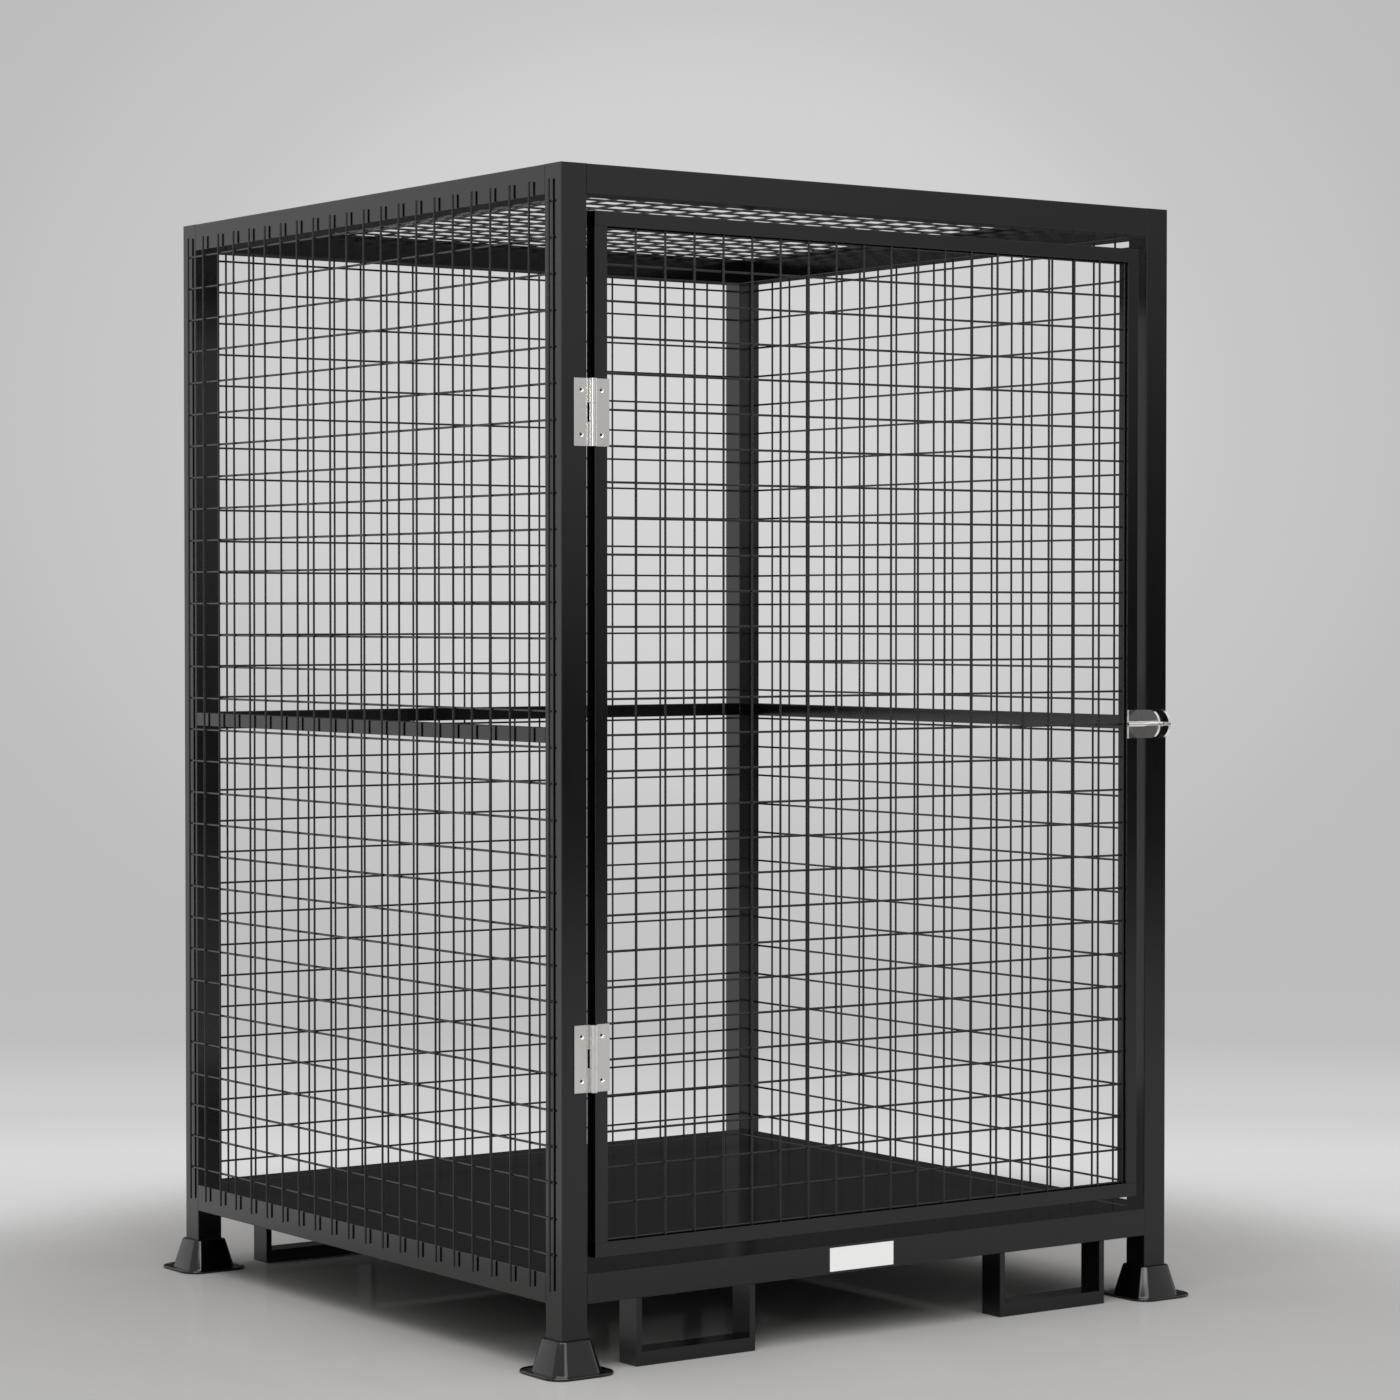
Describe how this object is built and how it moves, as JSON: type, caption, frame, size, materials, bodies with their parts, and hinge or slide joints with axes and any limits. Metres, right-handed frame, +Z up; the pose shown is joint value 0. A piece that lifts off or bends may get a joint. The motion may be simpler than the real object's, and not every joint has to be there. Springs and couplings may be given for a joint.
{
  "type": "gas cylinder cage",
  "caption": "Black steel storage cage for gas cylinders: square tube frame, welded wire mesh sides and roof, hinged mesh door with a pin latch, feet and forklift loops.",
  "frame": {"origin": "on the floor, under the middle of the overall box", "axes": "+X along the front to the right seen from outside the door, +Y from the front to the back, +Z up"},
  "size_m": [1.412, 1.406, 2.004],
  "materials": {
    "black_paint": "gloss black powder coat on steel tube, plate and cast feet",
    "black_wire": "gloss black powder coat on welded round wire",
    "zinc_steel": "bright zinc-plated steel, satin",
    "white_plate": "plain white plate, semi-gloss"
  },
  "bodies": {
    "cage": {"post_front_left": "black_paint", "post_front_right": "black_paint", "post_rear_left": "black_paint", "post_rear_right": "black_paint", "foot_front_left": "black_paint", "foot_front_right": "black_paint", "foot_rear_left": "black_paint", "foot_rear_right": "black_paint", "top_rail_front": "black_paint", "top_rail_rear": "black_paint", "top_rail_left": "black_paint", "top_rail_right": "black_paint", "bottom_rail_front": "black_paint", "bottom_rail_rear": "black_paint", "bottom_rail_left": "black_paint", "bottom_rail_right": "black_paint", "mid_rails": "black_paint", "floor_plate": "black_paint", "fork_loop_front_left": "black_paint", "fork_loop_front_right": "black_paint", "fork_loop_rear_left": "black_paint", "fork_loop_rear_right": "black_paint", "mesh_left_lower": "black_wire", "mesh_left_upper": "black_wire", "mesh_right_lower": "black_wire", "mesh_right_upper": "black_wire", "mesh_rear_lower": "black_wire", "mesh_rear_upper": "black_wire", "roof_mesh_front": "black_wire", "roof_mesh_rear": "black_wire", "hinge_upper_post_leaf": "zinc_steel", "hinge_lower_post_leaf": "zinc_steel", "hinge_pins": "zinc_steel", "latch_post_ear": "zinc_steel", "data_plate": "white_plate"},
    "door": {"door_top_rail": "black_paint", "door_bottom_rail": "black_paint", "door_hinge_stile": "black_paint", "door_latch_stile": "black_paint", "door_mesh_lower": "black_wire", "door_mesh_upper": "black_wire", "hinge_upper_door_leaf": "zinc_steel", "hinge_lower_door_leaf": "zinc_steel", "latch_door_ear": "zinc_steel"},
    "latch_pin": {"latch_pin": "zinc_steel"}
  },
  "joints": [
    {"name": "door_hinge", "type": "hinge", "parent": "cage", "child": "door", "pos_m": [-0.607, -0.665, 1.057], "axis": [0, 0, -1], "range_deg": [0, 180]},
    {"name": "latch_pin_slide", "type": "slide", "parent": "door", "child": "latch_pin", "axis": [1, 0, 0], "range_m": [0, 0.033]}
  ]
}
